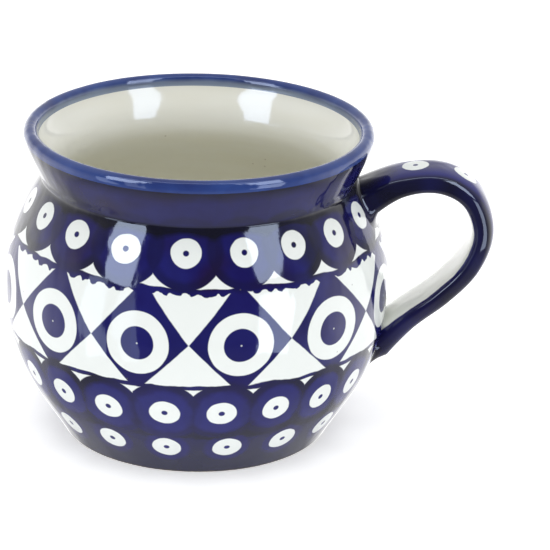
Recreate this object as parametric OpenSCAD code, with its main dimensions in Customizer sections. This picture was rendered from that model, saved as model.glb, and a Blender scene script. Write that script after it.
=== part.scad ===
// Bellied stoneware mug with a strap handle, in millimetres.
// +Z is up and the origin is the centre of the foot ring, where the mug stands.
// The handle points along +X. Sizes are of the fired and glazed mug.

/* [Mug] */
// Height of the mug
mug_h = 81; // [74:0.5:90]
// Thickness of the coats of glaze
glaze_t = 0.3; // [0.2:0.05:0.4]

/* [Foot] */
// Outer diameter of the foot ring
foot_d = 70; // [64:0.5:74]
// Inner diameter of the foot ring
foot_in_d = 62; // [56:0.5:62]
// Height of the bare clay above the table
foot_bare_h = 0.5; // [0.5:0.1:1.5]
// Depth of the recess under the floor
recess_h = 2.2; // [1.5:0.1:3]
// Edge rounding of the foot ring, cut as a chamfer
foot_edge = 0.3; // [0.2:0.1:0.5]

/* [Belly] */
// Largest diameter of the belly
belly_d = 99; // [94:0.5:106]
// Height of the largest diameter
belly_z = 40; // [36:0.5:43]
// Angle at which the wall leaves the foot, up from the table
foot_rise = 60; // [50:1:70]
// Length of the straight pull where the wall leaves the foot
foot_full = 13.4; // [9:0.2:15]
// Fullness of the wall between the foot and the belly
low_full = 20; // [15:0.5:22]
// Fullness of the wall between the belly and the neck
high_full = 15; // [11:0.5:17]

/* [Neck and lip] */
// Smallest diameter of the neck, outside
neck_d = 80.4; // [76:0.2:84]
// Height of the smallest diameter
neck_z = 67.8; // [66:0.2:69.5]
// Roundness of the outside of the neck below and above its smallest diameter
neck_round = 1.3; // [1:0.1:3]
// Roundness of the inside of the neck below and above its smallest diameter
inner_round = 6; // [4:0.5:8]
// Outer diameter of the lip
lip_d = 89; // [85:0.5:94]
// Thickness of the lip
lip_t = 3.6; // [3:0.1:4.4]
// Fullness of the flare under the lip
flare_full = 2.6; // [2:0.1:5]
// Depth of the coloured band below the widest line of the lip
band_drop = 1; // [0.2:0.1:1.5]

/* [Wall] */
// Thickness of the wall at the neck
neck_t = 4.2; // [3.5:0.1:5]
// Thickness of the wall at the belly
belly_t = 4.4; // [3.5:0.1:5.5]
// Height of the inside of the floor
floor_z = 7; // [6:0.1:9]
// Radius of the flat part of the floor
floor_flat_r = 18; // [12:1:24]
// Width of the round corner between the wall and the floor, inside
floor_corner = 11; // [6:1:14]

/* [Handle] */
// Breadth of the strap
strap_w = 17; // [14:0.5:20]
// Thickness of the strap
strap_t = 5.9; // [5:0.1:8]
// Squareness of the strap's section: 2 is an ellipse, more is squarer
strap_square = 3; // [2:0.1:5]
// Extra breadth at the two roots
root_w = 2; // [0:0.5:4]
// Extra thickness at the upper root
upper_root_t = 4; // [1:0.5:5]
// Extra thickness at the lower root
lower_root_t = 3; // [1:0.5:5]
// Width of the slip that fills the corner round each root
slip_w = 1.6; // [1:0.1:2]
// Fullness of the slip in the corner: 0 leaves it empty, 0.5 makes a straight slope
slip_full = 0.32; // [0.2:0.02:0.5]

/* [Hidden] */

$fn = 96;
curve_n = 14;        // steps in each long curve of the wall
lip_n = 12;          // steps over the lip
strap_n = 52;        // steps along the strap
strap_sides = 28;    // points round the strap's section
flare_share = 0.2;   // share of the strap over which each root flares

foot_r = foot_d / 2;
foot_in_r = foot_in_d / 2;
belly_r = belly_d / 2;
neck_r = neck_d / 2;
lip_r = lip_d / 2;
lip_z = mug_h - lip_t / 2;           // height of the lip's widest line
inner_belly_r = belly_r - belly_t;
inner_neck_r = neck_r - neck_t;
inner_lip_r = lip_r - lip_t;

clay = "#cdbfa6";
cobalt = "#23296e";
band_blue = "#2f4a8c";
cream = "#dcd9cb";

// Each long curve is a cubic: its start, two pulls and its end, as [radius, height].
low_curve = [[foot_r, foot_bare_h],
             [foot_r, foot_bare_h] + foot_full * [cos(foot_rise), sin(foot_rise)],
             [belly_r, belly_z - low_full], [belly_r, belly_z]];
high_curve = [[belly_r, belly_z], [belly_r, belly_z + high_full],
              [neck_r, neck_z - neck_round], [neck_r, neck_z]];
flare_curve = [[neck_r, neck_z], [neck_r, neck_z + neck_round],
               [lip_r, lip_z - flare_full], [lip_r, lip_z]];
inner_flare = [[inner_lip_r, lip_z], [inner_lip_r, lip_z - flare_full],
               [inner_neck_r, neck_z + inner_round], [inner_neck_r, neck_z]];
inner_high = [[inner_neck_r, neck_z], [inner_neck_r, neck_z - inner_round],
              [inner_belly_r, belly_z + high_full], [inner_belly_r, belly_z]];
inner_low = [[inner_belly_r, belly_z], [inner_belly_r, belly_z - low_full],
             [inner_belly_r - floor_corner, floor_z], [floor_flat_r, floor_z]];

function cubic(c, t) =
    pow(1 - t, 3) * c[0] + 3 * pow(1 - t, 2) * t * c[1] + 3 * (1 - t) * t * t * c[2] + pow(t, 3) * c[3];
function cubic_slope(c, t) =
    pow(1 - t, 2) * (c[1] - c[0]) + 2 * (1 - t) * t * (c[2] - c[1]) + t * t * (c[3] - c[2]);
// Point on a curve, moved by g to the right of its direction of travel.
function beside(c, t, g) =
    let (d = cubic_slope(c, t), u = d / norm(d)) cubic(c, t) + g * [u.y, -u.x];
function run(c, from, to, g, n = curve_n) =
    [for (i = [0:n]) beside(c, from + (to - from) * i / n, g)];
function tail(list) = [for (i = [1:len(list) - 1]) list[i]];
function reversed(list) = [for (i = [len(list) - 1:-1:0]) list[i]];

// Share of the flare at which the coloured band starts, by halving the interval.
function share_at(c, z, lo = 0, hi = 1, left = 20) =
    left == 0 ? (lo + hi) / 2
    : let (mid = (lo + hi) / 2)
      (cubic(c, mid).y - z) * (c[3].y - c[0].y) < 0
      ? share_at(c, z, mid, hi, left - 1) : share_at(c, z, lo, mid, left - 1);
band_out = share_at(flare_curve, lip_z - band_drop);
band_in = share_at(inner_flare, lip_z - band_drop);

function lip_arc(g) =
    [for (i = [0:lip_n]) let (a = 180 * i / lip_n)
        [lip_r - lip_t / 2, lip_z] + (lip_t / 2 + g) * [cos(a), sin(a)]];

// The outside from the foot to where the band starts, the band, and the inside; g is 0 on
// the glaze and -glaze_t on the clay.
function outside_line(g) =
    concat(run(low_curve, 0, 1, g), tail(run(high_curve, 0, 1, g)), tail(run(flare_curve, 0, band_out, g)));
function band_line(g) =
    concat(run(flare_curve, band_out, 1, g, 3), tail(lip_arc(g)), tail(run(inner_flare, 0, band_in, g, 3)));
function inside_line(g) =
    concat(run(inner_flare, band_in, 1, g), tail(run(inner_high, 0, 1, g)), tail(run(inner_low, 0, 1, g)));

module coat(outer, inner) {
    rotate_extrude() polygon(concat(outer, reversed(inner)));
}

// Fired clay wall and floor on a plain foot ring, which stays unglazed.
module body() {
    clay_foot_r = foot_r - glaze_t;
    color(clay) rotate_extrude() polygon(concat(
        [[0, recess_h], [foot_in_r, recess_h], [foot_in_r, foot_edge], [foot_in_r + foot_edge, 0],
         [clay_foot_r - foot_edge, 0], [clay_foot_r, foot_edge]],
        outside_line(-glaze_t), tail(band_line(-glaze_t)), tail(inside_line(-glaze_t)),
        [[0, floor_z - glaze_t]]));
}

module outside_glaze() { color(cobalt) coat(outside_line(0), outside_line(-glaze_t)); }

module rim_band() { color(band_blue) coat(band_line(0), band_line(-glaze_t)); }

module inside_glaze() {
    color(cream) coat(concat(inside_line(0), [[0, floor_z]]),
                      concat(inside_line(-glaze_t), [[0, floor_z - glaze_t]]));
}

module base_glaze() {
    color(cream) translate([0, 0, recess_h - glaze_t]) cylinder(r = foot_in_r, h = glaze_t);
}

// Middle line of the strap in the XZ plane, from the neck over the top and back to the belly.
strap_points = [[41, 61.6], [51, 66.8], [61.5, 67.8], [69.5, 63.8], [72.8, 55], [70, 45.8],
                [63, 37.8], [54, 30.4], [45.5, 21.8]];

// Outside radius of the glazed wall at height z.
wall_line = [for (p = outside_line(0)) [p.y, p.x]];
function wall_r(z) = lookup(z, wall_line);

// Point and direction of a smooth curve through the strap's points, u from 0 to 1.
function point_at(i) = strap_points[max(0, min(len(strap_points) - 1, i))];
function strap_xz(u) =
    let (s = u * (len(strap_points) - 1), i = min(floor(s), len(strap_points) - 2), t = s - i,
         a = point_at(i - 1), b = point_at(i), c = point_at(i + 1), d = point_at(i + 2))
    0.5 * (2 * b + (c - a) * t + (2 * a - 5 * b + 4 * c - d) * t * t + (3 * b - a - 3 * c + d) * t * t * t);
function strap_dir(u) =
    let (e = 0.002, d = strap_xz(min(1, u + e)) - strap_xz(max(0, u - e))) d / norm(d);

function ease(x) = x <= 0 ? 0 : x * x;
function strap_thick(u) =
    strap_t + upper_root_t * ease(1 - u / flare_share) + lower_root_t * ease(1 - (1 - u) / flare_share);
function strap_broad(u) =
    strap_w + root_w * (ease(1 - u / flare_share) + ease(1 - (1 - u) / flare_share));
function side_power(v) = sign(v) * pow(abs(v), 2 / strap_square);

// One ring of the strap, g outside its glazed surface.
function strap_ring(u, g) =
    let (m = strap_xz(u), d = strap_dir(u), n = [-d.y, d.x],
         w = strap_broad(u) / 2 + g, t = strap_thick(u) / 2 + g)
    [for (k = [0:strap_sides - 1])
        let (a = 360 * (k + 0.5) / strap_sides, q = m + t * side_power(sin(a)) * n)
        [q.x, w * side_power(cos(a)), q.y]];
// A ring slid along X until it lies on the wall.
function on_wall(ring) = [for (p = ring) [sqrt(pow(wall_r(p.z), 2) - p.y * p.y), p.y, p.z]];
function strap_rings(g) =
    concat([on_wall(strap_ring(0, g))],
           [for (i = [2:strap_n - 2]) strap_ring(i / strap_n, g)],
           [on_wall(strap_ring(1, g))]);

// Faces that join each ring of a tube to the next, n points a ring, from ring first on.
function tube_faces(rings, n, first = 0, flip = false) =
    [for (i = [0:rings - 2], k = [0:n - 1])
        let (a = first + i * n + k, b = first + i * n + (k + 1) % n, q = [a, b, b + n, a + n])
        flip ? reversed(q) : q];
function triangles(quads) = [for (q = quads) each [[q[0], q[1], q[2]], [q[0], q[2], q[3]]]];

module handle() {
    rings = strap_rings(-glaze_t);
    last = (len(rings) - 1) * strap_sides;
    middle = len(rings) * strap_sides;
    ends = [[wall_r(strap_xz(0).y), 0, strap_xz(0).y], [wall_r(strap_xz(1).y), 0, strap_xz(1).y]];
    color(clay) polyhedron(
        points = concat([for (r = rings) each r], ends),
        faces = concat(
            triangles(tube_faces(len(rings), strap_sides)),
            [for (k = [0:strap_sides - 1]) [middle, (k + 1) % strap_sides, k]],
            [for (k = [0:strap_sides - 1]) [middle + 1, last + k, last + (k + 1) % strap_sides]]));
}

module handle_glaze() {
    outer = strap_rings(0);
    inner = strap_rings(-glaze_t);
    n = strap_sides;
    count = len(outer);
    base = count * n;
    last = (count - 1) * n;
    color(cobalt) polyhedron(
        points = concat([for (r = outer) each r], [for (r = inner) each r]),
        faces = triangles(concat(
            tube_faces(count, n), tube_faces(count, n, base, true),
            [for (k = [0:n - 1]) let (j = (k + 1) % n) [base + k, base + j, j, k]],
            [for (k = [0:n - 1]) let (j = (k + 1) % n) [last + k, last + j, base + last + j, base + last + k]])));
}

// Slip pressed into the corner between the strap's root and the wall. The root is at u = 0 or 1,
// and the slip climbs the strap to u = up.
module slip_joint(root, up) {
    corner = on_wall(strap_ring(root, 0));
    spread = on_wall(strap_ring(root, slip_w));
    climb = strap_ring(up, 0);
    n = strap_sides;
    section = [for (k = [0:n - 1])
        let (b = corner[k], a = spread[k], c = climb[k]) [b, a, b + slip_full * ((a - b) + (c - b)), c]];
    color(cobalt) polyhedron(
        points = [for (s = section) each s],
        faces = [for (k = [0:n - 1], j = [0:3])
            let (a = 4 * k + j, b = 4 * k + (j + 1) % 4,
                 c = 4 * ((k + 1) % n) + (j + 1) % 4, d = 4 * ((k + 1) % n) + j,
                 q = root == 0 ? [a, d, c, b] : [a, b, c, d])
            each [[q[0], q[1], q[2]], [q[0], q[2], q[3]]]]);
}

module upper_slip_joint() { slip_joint(0, 3 / strap_n); }

module lower_slip_joint() { slip_joint(1, 1 - 3 / strap_n); }

body();
handle();
upper_slip_joint();
lower_slip_joint();
inside_glaze();
outside_glaze();
rim_band();
handle_glaze();
base_glaze();
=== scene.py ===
import math

import bmesh
import bpy
from mathutils import Matrix, Quaternion, Vector, noise


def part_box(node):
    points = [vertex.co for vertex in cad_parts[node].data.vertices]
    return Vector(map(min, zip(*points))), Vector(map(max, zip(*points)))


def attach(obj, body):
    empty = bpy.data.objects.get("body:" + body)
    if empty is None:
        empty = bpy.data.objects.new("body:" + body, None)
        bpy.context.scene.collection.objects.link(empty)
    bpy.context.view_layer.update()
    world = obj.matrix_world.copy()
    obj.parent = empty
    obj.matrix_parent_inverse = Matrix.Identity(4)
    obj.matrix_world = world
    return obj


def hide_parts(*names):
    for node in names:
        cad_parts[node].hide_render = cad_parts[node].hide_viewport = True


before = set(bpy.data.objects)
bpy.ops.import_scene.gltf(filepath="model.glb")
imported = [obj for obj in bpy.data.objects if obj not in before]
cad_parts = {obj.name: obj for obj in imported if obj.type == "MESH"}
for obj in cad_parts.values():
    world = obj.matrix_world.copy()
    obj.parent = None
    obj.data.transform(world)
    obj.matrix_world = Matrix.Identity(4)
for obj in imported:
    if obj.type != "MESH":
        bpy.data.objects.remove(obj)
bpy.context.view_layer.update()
mm = 0.001
print("frame loaded:", ", ".join(sorted(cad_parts)))


camera = {
    "lookAt": Vector((0, 0, 40.5 * mm)),  # the middle of the belly
    "azimuth": math.radians(1.85),  # turned from -Y towards the handle
    "elevation": math.radians(21.56),
    "distance": 0.715,
    "lens": 180.7,
    "roll": math.radians(0.79),
    "aside": 20.1 * mm,  # how far the aim lies to the right of the belly, towards the handle
    "below": 0.6 * mm,  # and how far below its middle
}


def placeCamera(setup):
    data = bpy.data.cameras.new("camera")
    data.lens = setup["lens"]
    data.clip_start = 0.05
    eye = bpy.data.objects.new("camera", data)
    bpy.context.scene.collection.objects.link(eye)
    turn, rise = setup["azimuth"], setup["elevation"]
    back = Vector((math.sin(turn) * math.cos(rise), -math.cos(turn) * math.cos(rise), math.sin(rise)))
    level = Vector((math.cos(turn), math.sin(turn), 0))
    rolled = level * math.cos(setup["roll"]) + back.cross(level) * math.sin(setup["roll"])
    place = setup["lookAt"] + back * setup["distance"]
    aim = setup["lookAt"] + rolled * setup["aside"] - back.cross(rolled) * setup["below"]
    away = (place - aim).normalized()
    right = (rolled - away * rolled.dot(away)).normalized()
    facing = Matrix((right, away.cross(right), away)).transposed().to_4x4()
    eye.matrix_world = Matrix.Translation(place) @ facing
    bpy.context.scene.camera = eye


placeCamera(camera)
print("camera placed")


class Wire:
    # one output socket; arithmetic on it adds Math nodes to its tree
    def __init__(self, shading, socket):
        self.shading = shading
        self.socket = socket

    def maths(self, operation, *values):
        return self.shading.add("ShaderNodeMath", {"operation": operation}, dict(enumerate(values)))

    def __add__(self, other):
        return self.maths("ADD", self, other)

    def __radd__(self, other):
        return self.maths("ADD", other, self)

    def __sub__(self, other):
        return self.maths("SUBTRACT", self, other)

    def __rsub__(self, other):
        return self.maths("SUBTRACT", other, self)

    def __mul__(self, other):
        return self.maths("MULTIPLY", self, other)

    def __rmul__(self, other):
        return self.maths("MULTIPLY", other, self)

    def __truediv__(self, other):
        return self.maths("DIVIDE", self, other)

    def __rtruediv__(self, other):
        return self.maths("DIVIDE", other, self)

    def __neg__(self):
        return self.maths("SUBTRACT", 0.0, self)

    def __abs__(self):
        return self.maths("ABSOLUTE", self)

    def floor(self):
        return self.maths("FLOOR", self)

    def sine(self):
        return self.maths("SINE", self)

    def root(self):
        return self.maths("SQRT", self)

    def least(self, other):
        return self.maths("MINIMUM", self, other)

    def most(self, other):
        return self.maths("MAXIMUM", self, other)

    def wrapped(self, length):
        return self.maths("FLOORED_MODULO", self, length)

    def held(self):
        return self.shading.add("ShaderNodeClamp", {}, {"Value": self})


class Shading:
    # builds one node tree; whatever isn't plain arithmetic comes from add()
    def __init__(self, tree):
        tree.nodes.clear()
        self.tree = tree

    def add(self, kind, settings=None, sockets=None, output=0):
        node = self.tree.nodes.new(kind)
        for name, value in (settings or {}).items():
            setattr(node, name, value)
        for name, value in (sockets or {}).items():
            if isinstance(value, Wire):
                self.tree.links.new(value.socket, node.inputs[name])
            else:
                node.inputs[name].default_value = value
        return Wire(self, node.outputs[output]) if node.outputs else node


def rgb(red, green, blue):
    return (red, green, blue, 1.0)


def mixed(share, first, second):
    # the first colour where share is 0, the second where it is 1
    return share.shading.add("ShaderNodeMix", {"data_type": "RGBA"}, {0: share, 6: first, 7: second}, 2)


def inside(depth, soft):
    # 1 where depth is above zero and 0 below it, with an edge as wide as soft
    return (depth / soft + 0.5).held()


def ramped(value, low, high):
    # 0 at low and 1 at high
    return ((value - low) / (high - low)).held()


def noisy(shading, place, scale, detail):
    return shading.add("ShaderNodeTexNoise", {}, {"Vector": place, "Scale": scale, "Detail": detail})


def chance(shading, number, seed):
    # three random numbers that belong to a stamp's number
    colour = shading.add("ShaderNodeTexWhiteNoise", {"noise_dimensions": "1D"}, {"W": number + seed}, 1)
    return [shading.add("ShaderNodeSeparateColor", {}, {"Color": colour}, i) for i in range(3)]


def finish(name, slotColour, build):
    # a glazed or bare surface: build() returns what drives the sockets, and the constants
    material = bpy.data.materials.new(name)
    material.use_nodes = True
    material.diffuse_color = slotColour
    shading = Shading(material.node_tree)
    sockets = build(shading)
    surface = shading.add("ShaderNodeBsdfPrincipled", {}, sockets)
    shading.add("ShaderNodeOutputMaterial", {}, {"Surface": surface})
    return material


# lengths in millimetres; a Full or Round is how far a curve runs on before it bends away
vessel = {
    "glaze": 0.3,
    "footRadius": 35.0, "footInside": 31.0, "footBare": 0.5, "footEdge": 0.3, "recess": 2.2,
    "footRise": math.radians(60), "footFull": 13.4,
    "bellyRadius": 49.5, "bellyHeight": 40.0, "lowFull": 20.0, "highFull": 15.0, "bellyWall": 4.4,
    "neckRadius": 40.2, "neckHeight": 67.8, "neckRound": 1.3, "innerRound": 6.0, "neckWall": 4.2,
    "lipRadius": 44.5, "lipThick": 3.6, "flareFull": 2.6, "bandDrop": 1.0,
    "floorHeight": 7.0, "floorFlat": 18.0, "floorCorner": 11.0,
    "baseEdge": 0.4,  # how far from the foot ring the coat in the recess starts to round off
}

# how finely the mesh is cut: steps along each curve, and points in a ring
cut = {
    "low": 64, "high": 56, "flare": 24, "band": 3, "lip": 28, "edge": 4,
    "innerFlare": 20, "innerHigh": 44, "innerLow": 48,
    "outsideAround": 384, "insideAround": 256, "clayAround": 192,
    "clayShare": 0.6,  # the clay under the glaze is cut this much coarser
    "sharpAbove": math.radians(40),  # an edge with a wider turn than this stays sharp
}

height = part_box("rim_band")[1].z / mm
lipHeight = height - vessel["lipThick"] / 2


def pulls(*points):
    # a cubic's start, two pulls and end, from millimetres to metres
    return [Vector(point) * mm for point in points]


v = vessel  # short, because the outlines below name it so often
innerBelly = v["bellyRadius"] - v["bellyWall"]
innerNeck = v["neckRadius"] - v["neckWall"]
innerLip = v["lipRadius"] - v["lipThick"]
lowCurve = pulls((v["footRadius"], v["footBare"]),
                 (v["footRadius"] + v["footFull"] * math.cos(v["footRise"]),
                  v["footBare"] + v["footFull"] * math.sin(v["footRise"])),
                 (v["bellyRadius"], v["bellyHeight"] - v["lowFull"]),
                 (v["bellyRadius"], v["bellyHeight"]))
highCurve = pulls((v["bellyRadius"], v["bellyHeight"]),
                  (v["bellyRadius"], v["bellyHeight"] + v["highFull"]),
                  (v["neckRadius"], v["neckHeight"] - v["neckRound"]),
                  (v["neckRadius"], v["neckHeight"]))
flareCurve = pulls((v["neckRadius"], v["neckHeight"]),
                   (v["neckRadius"], v["neckHeight"] + v["neckRound"]),
                   (v["lipRadius"], lipHeight - v["flareFull"]),
                   (v["lipRadius"], lipHeight))
innerFlare = pulls((innerLip, lipHeight),
                   (innerLip, lipHeight - v["flareFull"]),
                   (innerNeck, v["neckHeight"] + v["innerRound"]),
                   (innerNeck, v["neckHeight"]))
innerHigh = pulls((innerNeck, v["neckHeight"]),
                  (innerNeck, v["neckHeight"] - v["innerRound"]),
                  (innerBelly, v["bellyHeight"] + v["highFull"]),
                  (innerBelly, v["bellyHeight"]))
innerLow = pulls((innerBelly, v["bellyHeight"]),
                 (innerBelly, v["bellyHeight"] - v["lowFull"]),
                 (innerBelly - v["floorCorner"], v["floorHeight"]),
                 (v["floorFlat"], v["floorHeight"]))


def cubic(curve, t):
    a, b, c, d = curve
    return a * (1 - t) ** 3 + b * 3 * (1 - t) ** 2 * t + c * 3 * (1 - t) * t * t + d * t ** 3


def beside(curve, t, gap):
    # the point at t, moved by gap to the right of the direction of travel
    a, b, c, d = curve
    along = ((b - a) * (1 - t) ** 2 + (c - b) * 2 * (1 - t) * t + (d - c) * t * t).normalized()
    return cubic(curve, t) + Vector((along.y, -along.x)) * gap


def run(curve, first, last, gap, steps):
    return [beside(curve, first + (last - first) * i / steps, gap) for i in range(steps + 1)]


def shareAt(curve, level):
    # where along the curve it passes that height, by halving the interval
    low, high = 0.0, 1.0
    rising = curve[3].y > curve[0].y
    halvings = 30
    for _ in range(halvings):
        middle = (low + high) / 2
        if (cubic(curve, middle).y < level) == rising:
            low = middle
        else:
            high = middle
    return low


bandLevel = (lipHeight - v["bandDrop"]) * mm
bandOut, bandIn = shareAt(flareCurve, bandLevel), shareAt(innerFlare, bandLevel)


def lipArc(gap, steps):
    half = v["lipThick"] / 2 * mm
    centre = Vector((v["lipRadius"] * mm - half, lipHeight * mm))
    turns = [math.pi * i / steps for i in range(steps + 1)]
    return [centre + Vector((math.cos(a), math.sin(a))) * (half + gap) for a in turns]


def outsideLine(gap, share=1.0):
    # from the foot up to the band, moved out by gap; share cuts it coarser
    return (run(lowCurve, 0, 1, gap, round(cut["low"] * share))
            + run(highCurve, 0, 1, gap, round(cut["high"] * share))[1:]
            + run(flareCurve, 0, bandOut, gap, round(cut["flare"] * share))[1:])


def bandLine(gap, share=1.0):
    # over the lip
    return (run(flareCurve, bandOut, 1, gap, cut["band"])
            + lipArc(gap, round(cut["lip"] * share))[1:]
            + run(innerFlare, 0, bandIn, gap, cut["band"])[1:])


def insideLine(gap, share=1.0):
    # from the band down to the flat of the floor
    return (run(innerFlare, bandIn, 1, gap, round(cut["innerFlare"] * share))
            + run(innerHigh, 0, 1, gap, round(cut["innerHigh"] * share))[1:]
            + run(innerLow, 0, 1, gap, round(cut["innerLow"] * share))[1:])


def wallRadius(level):
    # outside radius of the glazed wall at a height
    curve = lowCurve if level < v["bellyHeight"] * mm else highCurve
    if level > v["neckHeight"] * mm:
        curve = flareCurve
    return cubic(curve, shareAt(curve, level)).x


# how far the fired wall is out of true, and over what length
throwing = {
    "sway": 0.22 * mm, "swaySize": 42 * mm,
    "ripple": 0.05 * mm, "rippleSize": 13 * mm,
    "rippleFrom": Vector((7, 3, 5)),  # another part of the noise than the sway's
}


def thrown(radius, level, angle):
    # how far the wall stands out of true there; the same for the clay and its coats
    full = v["bellyRadius"] * mm
    place = Vector((full * math.cos(angle), full * math.sin(angle), level))
    out = noise.noise(place / throwing["swaySize"]) * throwing["sway"]
    out += noise.noise(place / throwing["rippleSize"] + throwing["rippleFrom"]) * throwing["ripple"]
    return out * min(1.0, radius / full)


def pieceFrom(shape, name):
    # turns a bmesh into a smooth object that rides on the mug
    bmesh.ops.recalc_face_normals(shape, faces=shape.faces)
    for face in shape.faces:
        face.smooth = True
    mesh = bpy.data.meshes.new(name)
    shape.to_mesh(mesh)
    shape.free()
    mesh.set_sharp_from_angle(angle=cut["sharpAbove"])
    piece = bpy.data.objects.new(name, mesh)
    bpy.context.scene.collection.objects.link(piece)
    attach(piece, "root")
    return piece


def turned(name, line, around, closed=True):
    # spins a line of [radius, height]; a point on the axis becomes one vertex
    shape = bmesh.new()
    wallRun = shape.verts.layers.float.new("wallRun")
    travelled = 0.0
    rings = []
    for number, point in enumerate(line):
        if number:
            travelled += (point - line[number - 1]).length
        ring = []
        for i in range(around if point.x > 0 else 1):
            angle = math.tau * i / around
            radius = point.x + thrown(point.x, point.y, angle) if point.x > 0 else 0.0
            vertex = shape.verts.new((radius * math.cos(angle), radius * math.sin(angle), point.y))
            vertex[wallRun] = travelled
            ring.append(vertex)
        rings.append(ring)
    pairs = list(zip(rings, rings[1:]))
    if closed:
        pairs.append((rings[-1], rings[0]))
    for low, high in pairs:
        for i in range(around if len(low) + len(high) > 2 else 0):
            j = (i + 1) % around
            corners = [low[i % len(low)], low[j % len(low)], high[j % len(high)], high[i % len(high)]]
            shape.faces.new(list(dict.fromkeys(corners)))
    return pieceFrom(shape, name)


glaze = v["glaze"] * mm
footEdge = v["footEdge"] * mm
footRadius, footInside = v["footRadius"] * mm, v["footInside"] * mm
recess, floorHeight = v["recess"] * mm, v["floorHeight"] * mm


def rounded(x, y, start, size):
    # a quarter round of a foot edge, from angle start on
    turns = [start + math.pi / 2 * i / cut["edge"] for i in range(cut["edge"] + 1)]
    return [Vector((x + size * math.cos(a), y + size * math.sin(a))) for a in turns]


clayFoot = (rounded(footInside + footEdge, footEdge, math.pi, footEdge)
            + rounded(footRadius - glaze - footEdge, footEdge, 1.5 * math.pi, footEdge))
clayLine = ([Vector((0, recess)), Vector((footInside / 2, recess)), Vector((footInside, recess))]
            + clayFoot
            + outsideLine(-glaze, cut["clayShare"])
            + bandLine(-glaze, cut["clayShare"])[1:]
            + insideLine(-glaze, cut["clayShare"])[1:]
            + [Vector((0, floorHeight - glaze))])
clayBody = turned("clayBody", clayLine, cut["clayAround"], closed=False)
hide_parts("body")

outsideGlaze = turned("outsideGlaze", outsideLine(0) + outsideLine(-glaze)[::-1], cut["outsideAround"])
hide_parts("outside_glaze")

rimBand = turned("rimBand", bandLine(0) + bandLine(-glaze)[::-1], cut["outsideAround"])
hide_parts("rim_band")

floorMiddle = [Vector((0, floorHeight)), Vector((0, floorHeight - glaze))]
insideShell = insideLine(0) + floorMiddle + insideLine(-glaze)[::-1]
insideGlaze = turned("insideGlaze", insideShell, cut["insideAround"])
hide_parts("inside_glaze")

baseLine = [Vector((0, recess - glaze)), Vector((footInside / 2, recess - glaze)),
            Vector((footInside - v["baseEdge"] * mm, recess - glaze)),
            Vector((footInside, recess - glaze * 0.3)),
            Vector((footInside, recess)), Vector((0, recess))]
baseGlaze = turned("baseGlaze", baseLine, cut["clayAround"], closed=False)
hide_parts("base_glaze")
print("vessel turned")


strap = {
    "points": [(41, 61.9), (51, 67.4), (61.5, 68.6), (69.6, 64.3), (72.9, 55.2), (70, 45.8),
               (63, 37.8), (54, 30.4), (45.5, 21.8)],  # the middle line, from the neck back to the belly
    "broad": 17 * mm, "thick": 6.1 * mm,
    "square": 3.0,  # 2 is an ellipse, more is squarer
    "taper": 0.2,  # how much narrower the outer face is than the inner one
    "flare": 0.2,  # the share of the length over which each root grows
    "rootBroad": 2 * mm, "upperRootThick": 4 * mm, "lowerRootThick": 3 * mm,
    "steps": 168, "sides": 64, "claySteps": 84, "claySides": 48,
    "sink": 0.5 * mm,  # how far the ends go into the wall
    "hidden": 0.034,  # the share of the length at each end that would lie in the wall
    "lean": 12 * mm,  # how far from the wall the strap still follows it where it is out of true
}

slip = {
    "wide": 1.6 * mm,  # how far it spreads over the wall
    "full": 0.14,  # 0 is a hollow fillet right into the corner, 0.5 is nearly straight
    "climb": 2.4 / 52,  # how far it goes up the strap, as a share of its length
    "cornerSink": 0.2 * mm, "edgeSink": 0.02 * mm,  # how far its corner and its edge lie in the wall
    "steps": 8,
}


def strapPoint(i):
    points = strap["points"]
    return Vector(points[max(0, min(len(points) - 1, i))]) * mm


def strapMiddle(u):
    # a smooth curve through the strap's points
    s = u * (len(strap["points"]) - 1)
    i = min(int(s), len(strap["points"]) - 2)
    t = s - i
    a, b, c, d = (strapPoint(i + k) for k in (-1, 0, 1, 2))
    square, cube = 2 * a - 5 * b + 4 * c - d, 3 * b - a - 3 * c + d
    return 0.5 * (2 * b + (c - a) * t + square * t * t + cube * t ** 3)


def flareAt(share):
    # how much a root has grown, at that share of the length from its end
    return max(0.0, 1 - share / strap["flare"]) ** 2


def strapRing(u, gap, sides):
    # the strap's section at a share of its length, gap larger all round
    step = 0.002
    along = (strapMiddle(min(1, u + step)) - strapMiddle(max(0, u - step))).normalized()
    outward = Vector((-along.y, along.x))
    wide = (strap["broad"] + strap["rootBroad"] * (flareAt(u) + flareAt(1 - u))) / 2 + gap
    thick = strap["thick"] + strap["upperRootThick"] * flareAt(u) + strap["lowerRootThick"] * flareAt(1 - u)
    ring = []
    for k in range(sides):
        a = math.tau * (k + 0.5) / sides
        across, out = (math.copysign(abs(x) ** (2 / strap["square"]), x) for x in (math.cos(a), math.sin(a)))
        place = strapMiddle(u) + outward * (thick / 2 + gap) * out
        ring.append(Vector((place.x, wide * across * (1 - strap["taper"] * (1 + out) / 2), place.y)))
    return ring


def onWall(ring, sink):
    # slides a ring along X until it lies on the wall, or sink inside it
    return [Vector((math.sqrt((wallRadius(p.z) - sink) ** 2 - p.y ** 2), p.y, p.z)) for p in ring]


def leaned(place):
    # near the wall the strap follows the wall where it stands out of true
    radius, angle = math.hypot(place.x, place.y), math.atan2(place.y, place.x)
    near = 1 - min(1.0, max(0.0, radius - wallRadius(place.z)) / strap["lean"])
    out = thrown(v["bellyRadius"] * mm, place.z, angle) * near
    return place + Vector((math.cos(angle), math.sin(angle), 0)) * out


def strapRings(gap, steps, sides):
    first, last = (onWall(strapRing(end, gap, sides), strap["sink"]) for end in (0, 1))
    skip = max(2, round(steps * strap["hidden"]))
    middle = [strapRing(i / steps, gap, sides) for i in range(skip, steps - skip + 1)]
    return [[leaned(p) for p in ring] for ring in [first, *middle, last]]


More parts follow.
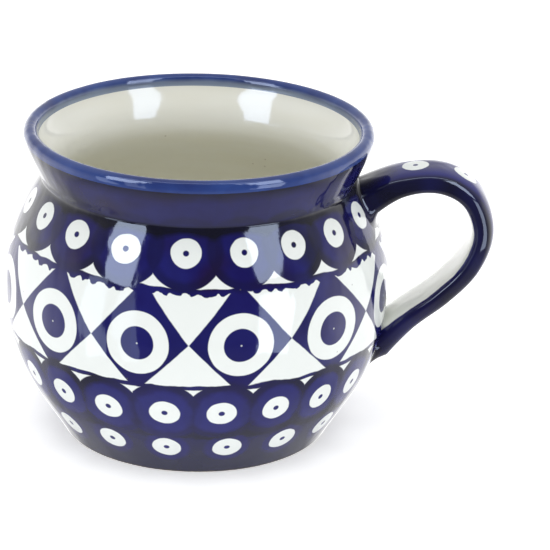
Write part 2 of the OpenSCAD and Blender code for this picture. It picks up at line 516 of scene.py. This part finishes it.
def tube(shape, rings, flip=False):
    # joins rings of vertices into a tube
    sides = len(rings[0])
    for low, high in zip(rings, rings[1:]):
        for k in range(sides):
            j = (k + 1) % sides
            corners = [low[k], low[j], high[j], high[k]]
            shape.faces.new(corners[::-1] if flip else corners)


def strapPiece(name, gaps, steps, sides):
    # one gap gives a closed core, two give a shell
    shape = bmesh.new()
    outerRun = shape.verts.layers.float.new("outerRun")
    outerSide = shape.verts.layers.float.new("outerSide")
    skins = []
    for gap in gaps:
        rings = strapRings(gap, steps, sides)
        crown = sides // 4
        travelled = 0.0
        skin = []
        for number, ring in enumerate(rings):
            if number:
                travelled += (ring[crown] - rings[number - 1][crown]).length
            made = []
            for k, place in enumerate(ring):
                vertex = shape.verts.new(place)
                vertex[outerRun] = travelled
                vertex[outerSide] = math.sin(math.tau * (k + 0.5) / sides)
                made.append(vertex)
            skin.append(made)
        skins.append(skin)
        tube(shape, skin, flip=gap != gaps[0])
    for end in (0, -1):
        if len(skins) == 2:
            tube(shape, [skins[0][end], skins[1][end]], flip=end == 0)
        else:
            shape.faces.new(skins[0][end])
    return pieceFrom(shape, name)


handleClay = strapPiece("handleClay", [-glaze], strap["claySteps"], strap["claySides"])
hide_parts("handle")

handleGlaze = strapPiece("handleGlaze", [0.0, -glaze], strap["steps"], strap["sides"])
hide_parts("handle_glaze")


def slipJoint(name, node, root, climb):
    # slip pressed into the corner round a root: a hollow fillet from the wall up the strap
    sides, steps = strap["sides"], slip["steps"]
    corner = onWall(strapRing(root, -slip["cornerSink"], sides), slip["cornerSink"])
    spread = onWall(strapRing(root, slip["wide"], sides), slip["edgeSink"])
    upper = strapRing(climb, 0, sides)
    shares = [i / steps for i in range(steps + 1)]
    lines = []
    for b, a, c in zip(corner, spread, upper):
        pull = b + ((a - b) + (c - b)) * slip["full"]
        lines.append([a * (1 - t) ** 2 + pull * 2 * (1 - t) * t + c * t * t for t in shares] + [b])
    shape = bmesh.new()
    rings = [[shape.verts.new(leaned(line[i])) for line in lines] for i in range(steps + 2)]
    tube(shape, rings + [rings[0]])
    joint = pieceFrom(shape, name)
    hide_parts(node)
    return joint


upperSlip = slipJoint("upperSlipJoint", "upper_slip_joint", 0, slip["climb"])
lowerSlip = slipJoint("lowerSlipJoint", "lower_slip_joint", 1, 1 - slip["climb"])
print("handle swept and slipped on")


cobalt = {
    "bright": rgb(0.016, 0.018, 0.155),
    "deep": rgb(0.008, 0.006, 0.085),
    "black": rgb(0.006, 0.006, 0.011),  # where the stain lies thick, and painted shade under the neck, under the band and on the handle
    "plum": rgb(0.014, 0.006, 0.036),
    "grey": rgb(0.013, 0.014, 0.040),  # the wash between the lower stamps
    "white": rgb(0.79, 0.825, 0.805),
    "gloss": 0.05,
    "ior": 1.46,
}

# each row of stamps: how many, the angle of the first from the front, how the hand drifted along
# the row, the height of the stamps' middles in millimetres, and where its random draws start
rows = {
    "upper": {"count": 19, "first": -78.9, "sway": 1.2, "swayFrom": -109, "level": 62.5, "seed": 3.0},
    "diamond": {"count": 12, "first": -74.8, "sway": 0.6, "swayFrom": 63, "level": 40.9, "seed": 11.0},
    "lower": {"count": 21, "first": -59.3, "sway": 1.1, "swayFrom": -158, "level": 21.2, "seed": 23.0},
    "foot": {"count": 17, "first": -50.1, "sway": 0.4, "swayFrom": 89, "level": 9.2, "seed": 37.0},
}

stamps = {
    "eyelet": 3.65, "dot": 0.74,  # radii, in millimetres
    "upperDisc": 9.2, "lowerDisc": 9.25, "footDisc": 5.6,
    "ring": 8.2, "ringInside": 4.35, "ringLift": 0.3, "pin": 0.22, "pinWhite": 0.7,
    "diamondWide": 12.95, "diamondRise": 15.8, "diamondFall": 13.6,
    "diamondEdge": 9.2,  # turns a share of the diamond into millimetres from its edge
    "diamondLean": 0.12,
    "toothLine": 13.6, "toothThick": 1.4, "teeth": 80, "toothDeep": 0.6,
    "lowLine": 11.7, "lowThick": 1.25,
    "waver": 2.6,  # how far the lines wander up and down
    "soft": 0.22,  # how far the stain bleeds at an edge
    "wobble": 0.5,  # how uneven the edges are
    "offSide": 0.5, "offRise": 0.9, "offRing": 0.6,  # how far the hand sets a stamp off its place
}

# noises are (how many to the metre, detail), and two more numbers are the levels they run between
wash = {
    "edge": (260, 2), "waver": (120, 1), "cloud": (75, 3),
    "patch": (38, 2, 0.42, 0.62), "plum": (52, 2, 0.52, 0.66),
    "gloss": (210, 2),
    "unevenGloss": 0.03,
}

pinHoles = {"scale": 330, "size": 0.09, "strength": 0.5, "colour": rgb(0.11, 0.1, 0.09)}

peel = {
    "fine": (420, 2), "broad": (95, 1), "runs": (230, 1),
    "hang": (1.0, 1.0, 0.3),  # the runs hang down the wall
    "fineDeep": 1.2, "broadDeep": 18, "runsDeep": 11,
    "deep": 0.012 * mm,
}


def runAt(level):
    # how far along the outside a height lies from where the glaze starts, in millimetres
    line = outsideLine(0)
    travelled = 0.0
    for before, after in zip(line, line[1:]):
        if after.y >= level * mm:
            part = (level * mm - before.y) / (after.y - before.y)
            return (travelled + (after - before).length * part) / mm
        travelled += (after - before).length
    return travelled / mm


levels = {name: runAt(row["level"]) for name, row in rows.items()}
crease = runAt(v["neckHeight"])


def aroundRow(angle, radius, row):
    # how far a point lies to the side of its stamp's centre, that stamp's number, and the row's pitch
    drift = (angle * 3 + math.radians(row["swayFrom"])).sine() * math.radians(row["sway"])
    turns = (angle + drift - math.radians(row["first"])) * (row["count"] / math.tau)
    number = (turns + 0.5).floor()
    pitch = radius * (math.tau / row["count"])
    return (turns - number) * pitch, number.wrapped(row["count"]), pitch


def distance(a, b):
    return (a * a + b * b).root()


def placeOn(shading):
    # the texture's own place in metres, and the same along X, Y and Z in millimetres
    place = shading.add("ShaderNodeTexCoord", {}, {}, 3)
    return place, [shading.add("ShaderNodeSeparateXYZ", {}, {"Vector": place}, i) * 1000 for i in range(3)]


def carried(shading, name):
    # a number that the mesh carries at its points
    return shading.add("ShaderNodeAttribute", {"attribute_name": name}, {}, 2)


def stretched(shading, place, factors):
    return shading.add("ShaderNodeVectorMath", {"operation": "MULTIPLY"}, {0: place, 1: factors})


def clouded(shading, place, cloud):
    # a noise that runs from 0 to 1 between two of its levels
    scale, detail, low, high = cloud
    return ramped(noisy(shading, place, scale, detail), low, high)


def orangePeel(shading, place, deep=peel["deep"]):
    # the fine waviness of a fired glaze, with runs that hang down the wall
    fine = noisy(shading, place, *peel["fine"]) * peel["fineDeep"]
    broad = noisy(shading, place, *peel["broad"]) * peel["broadDeep"]
    runs = noisy(shading, stretched(shading, place, peel["hang"]), *peel["runs"]) * peel["runsDeep"]
    bump = {"Strength": 1.0, "Distance": deep, "Height": fine + broad + runs}
    return shading.add("ShaderNodeBump", {}, bump)


def specked(shading, place, colour, specks):
    # pin-holes and grains of iron, in the few cells of a fine mesh that draw a high number
    sockets = {"Vector": place, "Scale": specks["scale"]}
    cell = shading.add("ShaderNodeTexVoronoi", {}, sockets, 0)
    draw = shading.add("ShaderNodeTexVoronoi", {}, sockets, 1)
    few = ramped(shading.add("ShaderNodeSeparateColor", {}, {"Color": draw}, 0), 0.9, 0.93)
    share = inside(specks["size"] - cell, specks["size"] * 0.5) * few
    return mixed(share * specks["strength"], colour, specks["colour"])


def glazed(shading, place, colour, gloss=cobalt["gloss"], uneven=wash["unevenGloss"], deep=peel["deep"]):
    return {
        "Base Color": colour,
        "Roughness": gloss + noisy(shading, place, *wash["gloss"]) * uneven,
        "Normal": orangePeel(shading, place, deep),
        "IOR": cobalt["ior"],
    }


def eyelet(side, rise, wobble):
    # a white spot with a stained dot in the middle
    away = distance(side, rise)
    white = inside(stamps["eyelet"] + wobble - away, stamps["soft"])
    dot = inside(stamps["dot"] - away + wobble * 0.3, stamps["soft"])
    return white * (1 - dot)


def eyeletRow(shading, name, wall, angle, radius, wobble):
    # a row's white spots, the stained disc round each, where two discs lap, and how deep each is
    row, disc = rows[name], stamps[name + "Disc"]
    side, number, pitch = aroundRow(angle, radius, row)
    offRise, offSide, deep = chance(shading, number, row["seed"])
    rise = wall - levels[name] + (offRise - 0.5) * stamps["offRise"]
    white = eyelet(side + (offSide - 0.5) * stamps["offSide"], rise, wobble)
    darkened = disc - distance(side, rise)
    lap = (disc - distance(pitch - abs(side), rise)).least(darkened)
    return {"white": white, "disc": darkened, "lap": lap, "deep": deep}


def diamondRow(shading, wall, angle, radius, wobble):
    # the stained diamonds, and the white ring and pin in each
    row, soft = rows["diamond"], stamps["soft"]
    side, number, _ = aroundRow(angle, radius, row)
    offSide, offRise, leaning = chance(shading, number, row["seed"])
    rise = wall - levels["diamond"]
    across = side + rise * (leaning - 0.5) * stamps["diamondLean"]
    high = (rise / stamps["diamondRise"]).most(-rise / stamps["diamondFall"])
    lozenge = 1 - abs(across) / (radius * (stamps["diamondWide"] / v["bellyRadius"])) - high
    away = distance(side + (offSide - 0.5) * stamps["offRing"],
                    rise + (offRise - 0.5) * stamps["offRing"] + stamps["ringLift"])
    ring = inside(stamps["ring"] + wobble * 0.5 - away, soft)
    hole = inside(away - stamps["ringInside"] + wobble * 0.4, soft)
    pin = inside(stamps["pin"] - away, soft) * stamps["pinWhite"]
    return lozenge * stamps["diamondEdge"] + wobble * 0.6, (ring * hole).most(pin)


def linesAround(shading, place, rise, angle, rough):
    # how far a point lies over the toothed line and over the thin one, and the stain of both
    waver = (noisy(shading, place, *wash["waver"]) - 0.5) * stamps["waver"]
    teeth = (angle * stamps["teeth"] + rough * 9 + waver * 2).sine() * stamps["toothDeep"]
    half = stamps["toothThick"] / 2
    above = rise - stamps["toothLine"] + waver * 0.8 + rough * 0.5
    toothed = (half - above).least(above + half + teeth * 0.7 + 0.35)
    below = rise + stamps["lowLine"] + waver * 0.7 + rough * 0.8
    return above, below, toothed.most(stamps["lowThick"] / 2 - abs(below))


def stainAndShadeTone(shading, place, wall, rise, rough, upper, lower, foot):
    # the stain's colour, from how thick it lies, with painted shade under the neck and under the band
    cloud = noisy(shading, place, *wash["cloud"])
    patch = clouded(shading, place, wash["patch"])
    onShoulder = inside(rise - stamps["toothLine"], 1.0)
    inDisc = inside(upper["disc"].most(lower["disc"]).most(foot["disc"]), 1.2)

    # bright where it is thin, deep on some stamps, plum on the shoulder, grey between the low stamps
    tone = mixed(ramped(cloud, 0.35, 0.7), cobalt["deep"], cobalt["bright"])
    deep = upper["deep"] * onShoulder + lower["deep"] * (1 - onShoulder)
    tone = mixed(deep * 0.5, tone, cobalt["deep"])
    tone = mixed(clouded(shading, place, wash["plum"]) * onShoulder * 0.7, tone, cobalt["plum"])
    low = ramped(-wall, -levels["lower"] - 4, -levels["foot"] + 3)
    tone = mixed((1 - inDisc) * low * 0.85, tone, cobalt["grey"])

    # black where two discs lap, round a disc's edge and in blots between the low rows; black just under the
    # neck is thick stain and painted shade in the crease
    lap = inside(upper["lap"].most(lower["lap"]), 0.9) * 0.4
    edge = inside(1.3 - abs(upper["disc"].most(lower["disc"]) - 0.8), 1.2) * (0.3 + patch * 0.5)
    tone = mixed(lap.most(edge), tone, cobalt["black"])
    between = (levels["lower"] + levels["foot"]) / 2
    blot = inside(2.8 - abs(wall - between - 0.5) + rough * 5, 1.2)
    blot = blot * (1 - inDisc) * (0.55 + patch * 0.45)
    # thick stain and painted shade: black in the crease just under the neck flare
    creaseStainAndShade = ramped(wall - crease + 4.6 - upper["disc"] * 0.5 + rough * 1.5, 0, 1.8)
    creaseStainAndShade = creaseStainAndShade * inside(crease + 0.5 - wall, 0.8)
    smoke = ramped(cloud * 0.6 + patch * 0.4, 0.42, 0.72) * (0.15 + onShoulder * 0.6)
    tone = mixed((blot * 0.9).most(creaseStainAndShade * 0.92).most(smoke), tone, cobalt["black"])

    # greyer over the neck, painted shade darkening the flare just under the band, and bright round the low
    # eyelets
    flare = inside(wall - crease - 0.2, 0.8)
    tone = mixed(flare * 0.35, tone, cobalt["grey"])
    # painted shade: the flare turns black just under the band
    tone = mixed(flare * ramped(wall, crease + 8, crease + 11) * 0.7, tone, cobalt["black"])
    halo = inside(lower["disc"].most(foot["disc"]) - 2.6 + rough * 3, 1.2) * (0.25 + cloud * 0.6)
    return mixed(halo, tone, cobalt["bright"])


def decoratedGlaze(shading):
    place, (x, y, _) = placeOn(shading)
    wall = carried(shading, "wallRun") * 1000
    angle = shading.add("ShaderNodeMath", {"operation": "ARCTAN2"}, {0: x, 1: -y})
    radius = distance(x, y)
    rough = noisy(shading, place, *wash["edge"]) - 0.5
    wobble = rough * stamps["wobble"]
    rise = wall - levels["diamond"]

    upper, lower, foot = (eyeletRow(shading, name, wall, angle, radius, wobble)
                          for name in ("upper", "lower", "foot"))
    lozenge, ring = diamondRow(shading, wall, angle, radius, wobble)
    above, below, lines = linesAround(shading, place, rise, angle, rough)

    # the diamonds end at the lines, and beyond them all that no disc leaves bare is stained
    stain = lozenge.least(stamps["toothThick"] / 2 - above).least(below + stamps["lowThick"] / 2)
    stain = stain.most(lines)
    stain = stain.most((upper["disc"] + wobble * 0.4).least(above + 0.4))
    stain = stain.most((lower["disc"] + wobble * 0.4).least(0.4 - below))
    stain = stain.most(wall - levels["upper"] + 3)
    stain = stain.most(levels["lower"] + 2 - wall)
    darkened = inside(stain, stamps["soft"] * 1.1)
    white = (1 - darkened).most(upper["white"]).most(lower["white"]).most(foot["white"]).most(ring)

    tone = stainAndShadeTone(shading, place, wall, rise, rough, upper, lower, foot)
    colour = mixed(white, tone, cobalt["white"])
    return glazed(shading, place, specked(shading, place, colour, pinHoles))


handleDecor = {
    "firstEyelet": 15.6, "spacing": 13.5, "lastEyelet": 86.0,  # along the outer face
    "off": 0.8, "smaller": 0.25, "seed": 51.0,
    "bareSide": -0.70,  # the inner face stays white
    "bareWhite": rgb(0.80, 0.80, 0.74),
    "clear": 8, "bareFrom": 9,  # how far from the neck the eyelets and the white may start
    "cloud": (80, 3, 0.35, 0.7), "patch": (45, 2, 0.38, 0.62),
    "flank": (-0.72, -0.5),  # the sides are darker: thick stain and painted shade
    "root": (-12, -3),  # and painted shade near the neck, round the upper root
}


def handleFinish(shading):
    place, (_, y, _) = placeOn(shading)
    along = carried(shading, "outerRun") * 1000
    face = carried(shading, "outerSide")
    rough = noisy(shading, place, *wash["edge"]) - 0.5

    turns = (along - handleDecor["firstEyelet"]) / handleDecor["spacing"]
    number = (turns + 0.5).floor()
    offRise, offSide, _ = chance(shading, number, handleDecor["seed"])
    rise = (turns - number) * handleDecor["spacing"] + (offRise - 0.5) * handleDecor["off"]
    side = y + (offSide - 0.5) * handleDecor["off"]
    white = eyelet(side, rise, rough * stamps["wobble"] - handleDecor["smaller"])
    onStrap = inside(face, 0.2) * inside(along - handleDecor["clear"], 1)
    onStrap = onStrap * inside(handleDecor["lastEyelet"] - along, 1)
    bare = inside(handleDecor["bareSide"] - face + rough * 0.12, 0.05)
    bare = bare * inside(along - handleDecor["bareFrom"], 2)

    tone = mixed(clouded(shading, place, handleDecor["cloud"]), cobalt["deep"], cobalt["bright"])
    # thick stain and painted shade: the strap's sides turn black
    flank = ramped(-abs(face), *handleDecor["flank"])
    patch = clouded(shading, place, handleDecor["patch"])
    # painted shade: black near the upper root, in the corner at the neck
    rootShade = ramped(-along, *handleDecor["root"])
    tone = mixed((flank * (0.55 + patch * 0.4)).most(rootShade * 0.8), tone, cobalt["black"])
    colour = mixed(white * onStrap, tone, cobalt["white"])
    colour = mixed(bare, colour, handleDecor["bareWhite"])
    return glazed(shading, place, specked(shading, place, colour, pinHoles))


# the slip is mostly black: its cobalt, with painted shade in the corner where the handle meets the wall
slipStainAndShade = {"cloud": (120, 3, 0.45, 0.75), "share": 0.5, "unevenGloss": 0.04, "deep": 0.02 * mm}


def slipFinish(shading):
    place, _ = placeOn(shading)
    cloud = clouded(shading, place, slipStainAndShade["cloud"]) * slipStainAndShade["share"]
    tone = mixed(cloud, cobalt["black"], cobalt["deep"])
    return glazed(shading, place, tone, uneven=slipStainAndShade["unevenGloss"], deep=slipStainAndShade["deep"])


rim = {
    "blue": rgb(0.028, 0.062, 0.235), "dark": rgb(0.016, 0.028, 0.13),
    "paleInner": rgb(0.30, 0.36, 0.44),  # paler on the band's inner side, below the top of the lip
    "paleInnerShare": 0.75, "gloss": 0.06,
    "streaks": (90, 3),
}


def rimFinish(shading):
    place, (x, y, z) = placeOn(shading)
    streaks = noisy(shading, place, *rim["streaks"])
    tone = mixed(ramped(streaks, 0.3, 0.7), rim["dark"], rim["blue"])
    outer = ramped(distance(x, y), innerLip - 0.1, innerLip + 0.5)
    paleInner = (1 - outer) * inside(lipHeight + 0.5 - z + (streaks - 0.5) * 1.5, 1.2)
    colour = mixed(paleInner * rim["paleInnerShare"], tone, rim["paleInner"])
    return glazed(shading, place, colour, rim["gloss"])


cream = {
    "pale": rgb(0.84, 0.85, 0.80), "warm": rgb(0.70, 0.67, 0.51), "gloss": 0.07,
    "cloud": (40, 3), "fine": (420, 2),
    "rings": (240, 2), "ringLong": (0.15, 0.15, 1.0),  # the throwing rings run round the wall
    "ringDeep": 0.02 * mm,
    "shadedFrom": 70, "shadedTo": 10,  # heights between which it grows warmer and darker: painted shade deeper in the mug
    "specks": {"scale": 300, "size": 0.08, "strength": 0.35, "colour": rgb(0.3, 0.25, 0.17)},
}


def creamFinish(shading):
    place, (_, _, z) = placeOn(shading)
    cloud = noisy(shading, place, *cream["cloud"])
    rings = noisy(shading, stretched(shading, place, cream["ringLong"]), *cream["rings"])
    # painted shade: darker and warmer towards the bottom of the inside
    deep = ramped(-z, -cream["shadedFrom"], -cream["shadedTo"])
    colour = mixed((deep * 0.7 + cloud * 0.3).held(), cream["pale"], cream["warm"])
    colour = mixed(ramped(rings, 0.4, 0.8) * 0.25, colour, cream["warm"])
    height = noisy(shading, place, *cream["fine"]) * 0.3 + rings
    bump = {"Strength": 1.0, "Distance": cream["ringDeep"], "Height": height}
    return {
        "Base Color": specked(shading, place, colour, cream["specks"]),
        "Roughness": cream["gloss"] + cloud * wash["unevenGloss"],
        "Normal": shading.add("ShaderNodeBump", {}, bump),
        "IOR": cobalt["ior"],
    }


clay = {
    "pale": rgb(0.66, 0.57, 0.44), "dark": rgb(0.46, 0.37, 0.26),
    "darkened": rgb(0.035, 0.033, 0.05),  # painted shade round the outside of the foot, where it meets the table
    "footShadeShare": 0.9,
    "grain": (900, 4), "cloud": (60, 3), "grainDeep": 0.06 * mm,
    "dull": 0.8, "unevenDull": 0.15,
    "specks": {"scale": 700, "size": 0.16, "strength": 1.0, "colour": rgb(0.09, 0.06, 0.04)},
}


def clayFinish(shading):
    place, (x, y, _) = placeOn(shading)
    grain = noisy(shading, place, *clay["grain"])
    cloud = noisy(shading, place, *clay["cloud"])
    colour = mixed(ramped(grain * 0.6 + cloud * 0.4, 0.35, 0.65), clay["dark"], clay["pale"])
    colour = specked(shading, place, colour, clay["specks"])
    # painted shade: the foot's outer edge darkens where it meets the table
    run = ramped(distance(x, y) + grain, v["footRadius"] - 0.4, v["footRadius"] + 0.2)
    bump = {"Strength": 1.0, "Distance": clay["grainDeep"], "Height": grain}
    return {
        "Base Color": mixed(run * clay["footShadeShare"], colour, clay["darkened"]),
        "Roughness": clay["dull"] + grain * clay["unevenDull"],
        "Normal": shading.add("ShaderNodeBump", {}, bump),
    }


finishes = [
    ("bareClay", clayFinish, clay["pale"], [clayBody, handleClay]),
    ("stampedGlaze", decoratedGlaze, cobalt["bright"], [outsideGlaze]),
    ("bandGlaze", rimFinish, rim["blue"], [rimBand]),
    ("creamGlaze", creamFinish, cream["pale"], [insideGlaze, baseGlaze]),
    ("strapGlaze", handleFinish, cobalt["bright"], [handleGlaze]),
    ("cobaltSlip", slipFinish, cobalt["deep"], [upperSlip, lowerSlip]),
]
for name, build, colour, coated in finishes:
    made = finish(name, colour, build)
    for piece in coated:
        piece.data.materials.append(made)
    print("finish", name, "on", ", ".join(piece.name for piece in coated))


table = {
    "radius": 3.0, "points": 96,
    "white": rgb(0.95, 0.95, 0.95),
    "lift": 0.45,  # a little light of its own, so that it fades into the backdrop
}


def tableFinish(shading):
    return {"Base Color": table["white"], "Roughness": 0.7, "IOR": 1.3,
            "Emission Color": table["white"], "Emission Strength": table["lift"]}


def makeTable(setup):
    shape = bmesh.new()
    bmesh.ops.create_circle(shape, cap_ends=True, radius=setup["radius"], segments=setup["points"])
    mesh = bpy.data.meshes.new("table")
    shape.to_mesh(mesh)
    shape.free()
    top = bpy.data.objects.new("table", mesh)
    bpy.context.scene.collection.objects.link(top)
    mesh.materials.append(finish("tableWhite", setup["white"], tableFinish))
    top.visible_glossy = False  # the glaze mirrors the studio instead


studio = {
    "camera": 1.0, "fill": 0.84,  # how bright the room is to the eye and as a fill
    "dark": 0.10,  # what the glaze mirrors of the room's near side
    "horizon": 1.9, "upper": 0.85,  # and of its far side, low down and higher up
    "down": 0.75,  # and of the table
    "farSide": (-0.55, 0.15), "tableSide": (0.38, 0.8), "overHorizon": (-0.3, -0.05),
    "mirrorTint": (0.66, 0.77, 1.0),  # what the glaze mirrors is cooler than what lights the mug
}


def lightRoom(setup):
    world = bpy.data.worlds.new("studio")
    bpy.context.scene.world = world
    world.use_nodes = True
    shading = Shading(world.node_tree)
    toward = shading.add("ShaderNodeTexCoord", {}, {}, 0)
    depth, up = (shading.add("ShaderNodeSeparateXYZ", {}, {"Vector": toward}, i) for i in (1, 2))
    back = ramped(depth, *setup["farSide"])
    under = ramped(-up, *setup["tableSide"])
    low = ramped(-up, *setup["overHorizon"])
    bright = setup["upper"] - setup["dark"] + low * (setup["horizon"] - setup["upper"])
    behind = back * (1 - under) * bright
    mirrored = setup["dark"] + behind.most(under * (setup["down"] - setup["dark"]))
    glossy = shading.add("ShaderNodeLightPath", {}, {}, "Is Glossy Ray")
    seen = shading.add("ShaderNodeLightPath", {}, {}, "Is Camera Ray")
    strength = setup["fill"] + glossy * (mirrored - setup["fill"]) + seen * (setup["camera"] - setup["fill"])
    backdrop = shading.add("ShaderNodeBackground", {}, {"Color": rgb(1, 1, 1), "Strength": strength})
    shading.add("ShaderNodeOutputWorld", {}, {"Surface": backdrop})


# the mirrored lamps only show in the glaze, and the other one only lights the mug; angles are in
# degrees from the camera's side, and lean is how far a tall box tips over sideways
lamps = [
    {"name": "leftBox", "azimuth": -51, "elevation": 34, "lean": 9, "distance": 1.1,
     "wide": 0.40, "high": 0.80, "glow": 11.0, "mirrored": True},
    {"name": "leftOuterFoot", "azimuth": -62, "elevation": -8, "lean": 0, "distance": 1.1,
     "wide": 0.27, "high": 0.86, "glow": 3.2, "mirrored": True},
    {"name": "leftInnerFoot", "azimuth": -41, "elevation": -8, "lean": 0, "distance": 1.1,
     "wide": 0.20, "high": 0.86, "glow": 2.2, "mirrored": True},
    {"name": "rightBox", "azimuth": 49, "elevation": 38, "lean": -8, "distance": 1.1,
     "wide": 0.36, "high": 0.80, "glow": 10.0, "mirrored": True},
    {"name": "rightFoot", "azimuth": 46, "elevation": -8, "lean": 0, "distance": 1.1,
     "wide": 0.38, "high": 0.76, "glow": 6.5, "mirrored": True},
    {"name": "ceiling", "azimuth": 0, "elevation": 80, "lean": 0, "distance": 1.2,
     "wide": 1.6, "high": 0.14, "glow": 5.0, "mirrored": True},
    {"name": "overhead", "azimuth": 0, "elevation": 80, "lean": 0, "distance": 1.3,
     "wide": 1.2, "high": 1.2, "glow": 1.1, "mirrored": False},
]


def placeLamp(setup):
    # an even area lamp that faces the mug; its glow is its radiance
    data = bpy.data.lights.new(setup["name"], "AREA")
    data.shape = "RECTANGLE"
    data.size, data.size_y = setup["wide"], setup["high"]
    data.energy = setup["glow"] * math.pi * setup["wide"] * setup["high"]
    if setup["mirrored"]:
        data.color = studio["mirrorTint"]
    lamp = bpy.data.objects.new(setup["name"], data)
    bpy.context.scene.collection.objects.link(lamp)
    turn = math.radians(setup["azimuth"]) + camera["azimuth"]
    rise = math.radians(setup["elevation"])
    out = Vector((math.sin(turn) * math.cos(rise), -math.cos(turn) * math.cos(rise), math.sin(rise)))
    lamp.location = camera["lookAt"] + out * setup["distance"]
    tipped = Quaternion((0, 0, 1), math.radians(setup["lean"]))
    lamp.rotation_mode = "QUATERNION"
    lamp.rotation_quaternion = out.to_track_quat("Z", "Y") @ tipped
    lamp.visible_camera = False
    lamp.visible_glossy = setup["mirrored"]
    lamp.visible_diffuse = not setup["mirrored"]


makeTable(table)
lightRoom(studio)
for setup in lamps:
    placeLamp(setup)
bpy.context.scene.view_settings.view_transform = "Standard"
print("table and lamps set")
